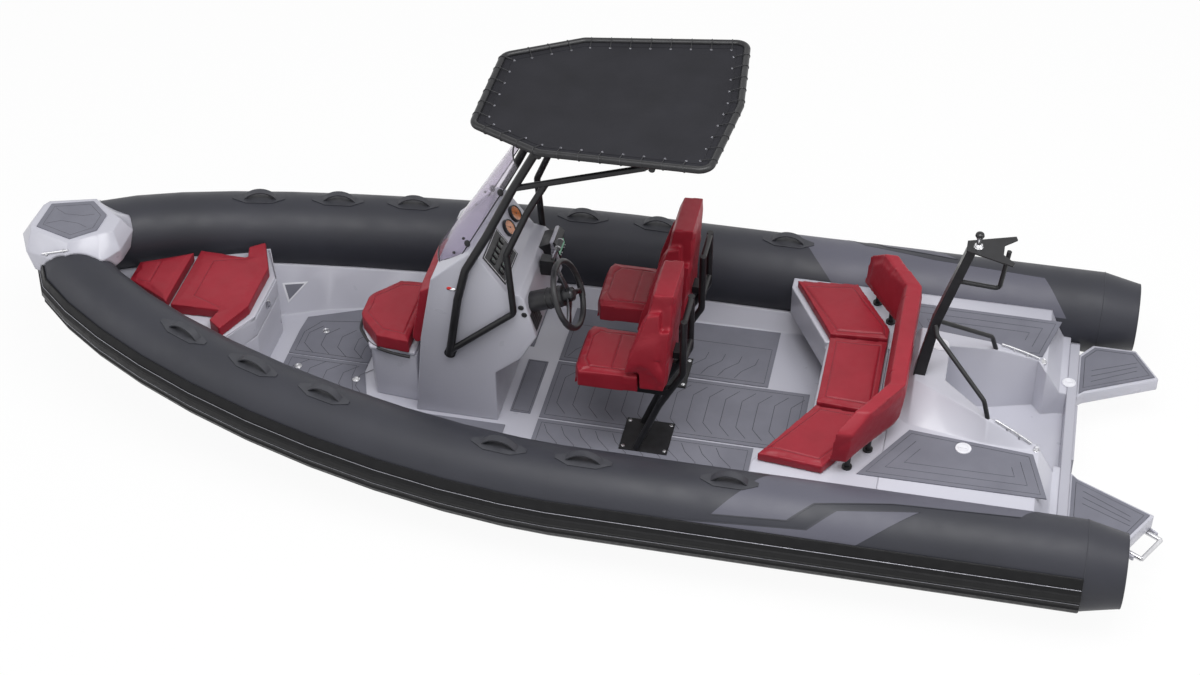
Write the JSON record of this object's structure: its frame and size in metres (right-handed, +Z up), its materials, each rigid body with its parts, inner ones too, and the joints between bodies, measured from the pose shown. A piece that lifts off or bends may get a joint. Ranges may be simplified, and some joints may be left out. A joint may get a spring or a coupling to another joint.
{
  "type": "rigid inflatable boat with centre console and T-top",
  "caption": "Open rigid inflatable boat with inflated side tubes, deep-V hull, centre console with T-top, helm seats, stern sofa, tow mast and swim platforms.",
  "frame": {"origin": "on the centreline at the waterline, at the middle of the cockpit floor's length", "axes": "+X to the bow, +Y to port, +Z up"},
  "size_m": [6.122, 2.428, 2.3853],
  "materials": {
    "hull_gelcoat": "gloss gelcoat",
    "deck_gelcoat": "satin gelcoat",
    "tube_fabric": "matt coated fabric",
    "strake_rubber": "satin",
    "deck_foam": "matt foam",
    "upholstery": "padded marine vinyl",
    "black_frame": "satin powder coat",
    "canopy_fabric": "woven",
    "clear_screen": "clear, slightly tinted",
    "black_plastic": "satin",
    "stainless": "polished"
  },
  "bodies": {
    "boat": {"bow_eye": "stainless", "bow_locker": "deck_gelcoat", "bow_step": "deck_gelcoat", "bow_step_pad": "deck_foam", "canopy_cloth": "canopy_fabric", "canopy_frame": "black_frame", "cockpit_liner": "deck_gelcoat", "console": "deck_gelcoat", "console_seat_back": "upholstery", "console_seat_box": "deck_gelcoat", "deck_pads": "deck_foam", "gauges": "black_plastic", "handles_port": "strake_rubber", "handles_starboard": "strake_rubber", "helm_back_port": "upholstery", "helm_back_starboard": "upholstery", "helm_cushion_port": "upholstery", "helm_cushion_starboard": "upholstery", "helm_frame_port": "black_frame", "helm_frame_starboard": "black_frame", "hull": "hull_gelcoat", "rub_strake_port": "strake_rubber", "rub_strake_starboard": "strake_rubber", "screen": "black_plastic", "sofa_back": "upholstery", "sofa_cushion_port": "upholstery", "sofa_cushion_starboard": "upholstery", "sofa_struts": "black_frame", "steering_hub": "black_plastic", "stern_bench": "deck_gelcoat", "stern_deck": "deck_gelcoat", "stern_pads": "deck_foam", "swim_pads": "deck_foam", "swim_platform_port": "deck_gelcoat", "swim_platform_starboard": "deck_gelcoat", "switch_panel": "black_plastic", "throttle": "black_plastic", "tow_mast": "black_frame", "tow_mast_legs": "black_frame", "tow_pin": "black_plastic", "transom": "hull_gelcoat", "ttop_frame_port": "black_frame", "ttop_frame_starboard": "black_frame", "tube_port": "tube_fabric", "tube_starboard": "tube_fabric", "windshield": "clear_screen"},
    "steering_wheel": {"steering_wheel": "black_plastic"},
    "bow_lid": {"bow_locker_lid": "deck_gelcoat", "bow_cushion_fore": "upholstery", "bow_cushion_aft": "upholstery"},
    "console_seat_lid": {"console_seat_lid": "deck_gelcoat", "console_seat_cushion": "upholstery"},
    "sofa_lid": {"sofa_lid": "deck_gelcoat", "sofa_cushion_middle": "upholstery"},
    "boarding_ladder": {"boarding_ladder": "stainless"}
  },
  "joints": [
    {"name": "steering_turn", "type": "hinge", "parent": "boat", "child": "steering_wheel", "pos_m": [0.062, 0.215, 0.928], "axis": [-0.9272, 0, 0.3746], "range_deg": [-720, 720]},
    {"name": "bow_lid_hinge", "type": "hinge", "parent": "boat", "child": "bow_lid", "pos_m": [2.525, 0, 0.465], "axis": [0, 1, 0], "range_deg": [0, 50]},
    {"name": "console_seat_hinge", "type": "hinge", "parent": "boat", "child": "console_seat_lid", "pos_m": [1.215, 0, 0.398], "axis": [0, 1, 0], "range_deg": [0, 75]},
    {"name": "sofa_lid_hinge", "type": "hinge", "parent": "boat", "child": "sofa_lid", "pos_m": [-1.545, 0, 0.452], "axis": [0, -1, 0], "range_deg": [0, 45]},
    {"name": "ladder_hinge", "type": "hinge", "parent": "boat", "child": "boarding_ladder", "pos_m": [-2.91386, 0.6447, 0.17], "axis": [0.5067, 0.8621, 0], "range_deg": [0, 100]}
  ]
}
